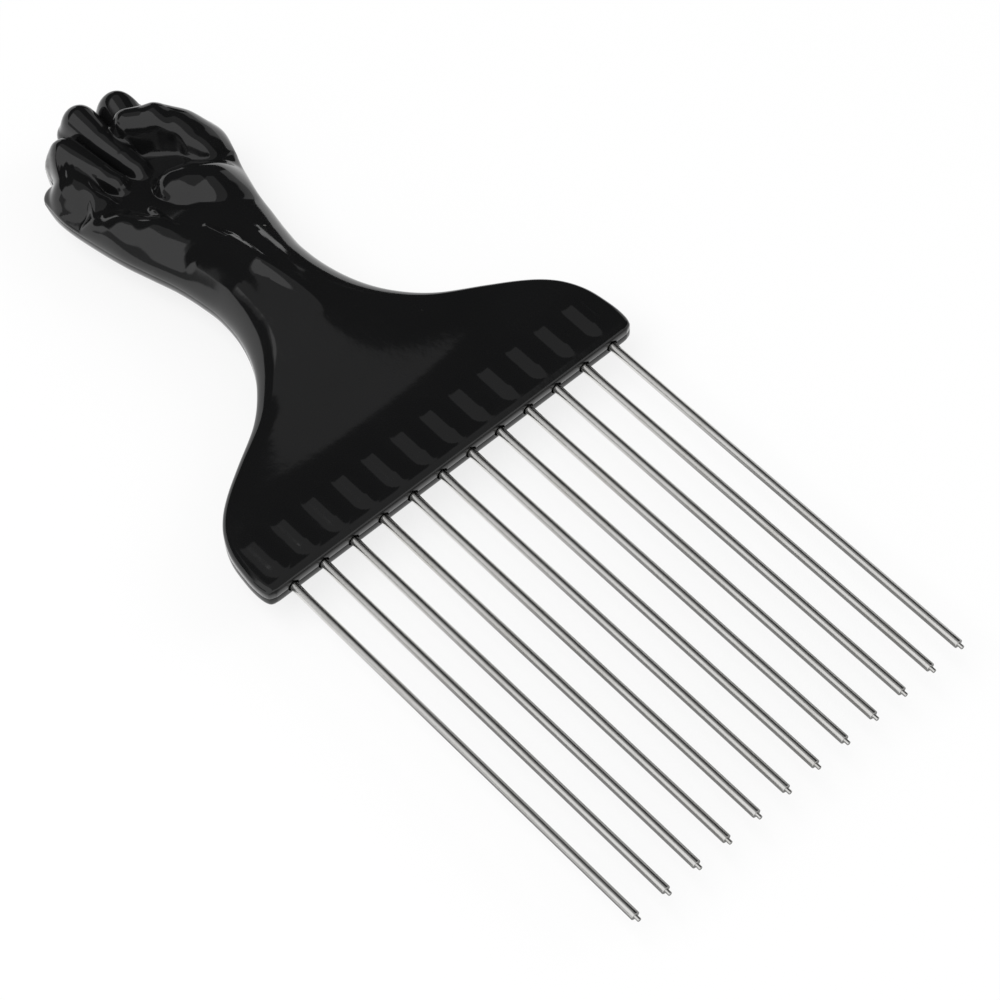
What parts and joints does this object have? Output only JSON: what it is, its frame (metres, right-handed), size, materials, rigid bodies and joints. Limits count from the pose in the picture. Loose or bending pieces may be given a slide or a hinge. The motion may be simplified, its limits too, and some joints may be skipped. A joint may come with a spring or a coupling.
{
  "type": "afro pick",
  "caption": "Hair pick: straight steel tines in a row, held in a flared black handle moulded in two halves and shaped as a forearm with a clenched fist.",
  "frame": {"origin": "under the middle of the overall length and width, on the plane that the back of the hand touches", "axes": "+Y along the handle to the knuckles, away from the tines; +X to the thumb side; +Z out of the palm side, the side with the ribs"},
  "size_m": [0.0784, 0.1788, 0.0193],
  "materials": {
    "handle_plastic": "gloss",
    "tine_steel": "polished"
  },
  "bodies": {
    "root": {"front_shell": "handle_plastic", "back_shell": "handle_plastic", "tine_01": "tine_steel", "tine_02": "tine_steel", "tine_03": "tine_steel", "tine_04": "tine_steel", "tine_05": "tine_steel", "tine_06": "tine_steel", "tine_07": "tine_steel", "tine_08": "tine_steel", "tine_09": "tine_steel", "tine_10": "tine_steel", "tine_11": "tine_steel", "tine_12": "tine_steel"}
  },
  "joints": []
}
